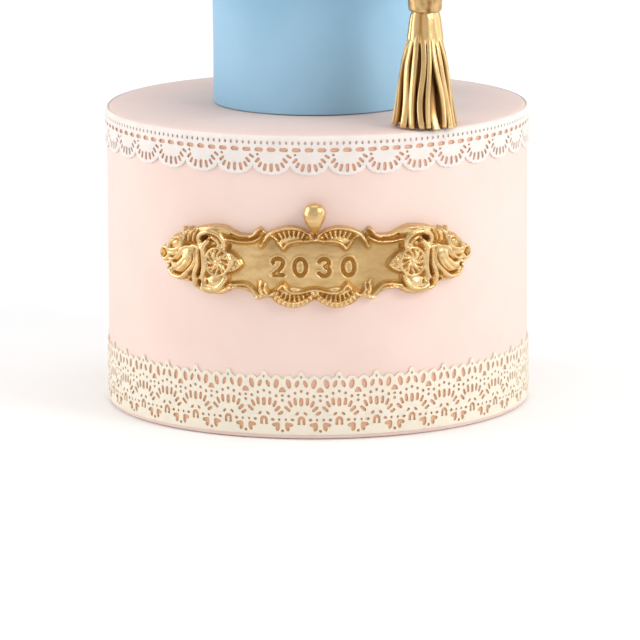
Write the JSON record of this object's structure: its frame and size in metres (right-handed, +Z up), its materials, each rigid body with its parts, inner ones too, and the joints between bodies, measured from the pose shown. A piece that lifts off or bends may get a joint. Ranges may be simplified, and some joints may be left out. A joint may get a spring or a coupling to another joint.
{
  "type": "graduation cake",
  "caption": "Round fondant cake with lace bands and a moulded name plate on its front, topped by a mortarboard cap with a button and a hanging tassel.",
  "frame": {"origin": "middle of the tier's flat underside", "axes": "+Z up, -Y towards the front with the name plate, +X to the viewer's right"},
  "size_m": [0.214, 0.2236, 0.2364],
  "materials": {
    "pink_paste": "soft matte fondant, pale pink",
    "blue_paste": "soft matte fondant, light blue",
    "sugar_lace": "matte edible lace, off-white",
    "gold_paste": "sugar paste painted with pale gold lustre"
  },
  "bodies": {
    "root": {"tier": "pink_paste", "lace_top": "sugar_lace", "lace_bottom": "sugar_lace", "plaque": "gold_paste", "plaque_drop": "gold_paste", "cap_crown": "blue_paste", "cap_board": "blue_paste", "cap_button": "gold_paste", "tassel_cord": "gold_paste", "tassel_collar": "gold_paste", "tassel_skirt": "gold_paste"}
  },
  "joints": []
}
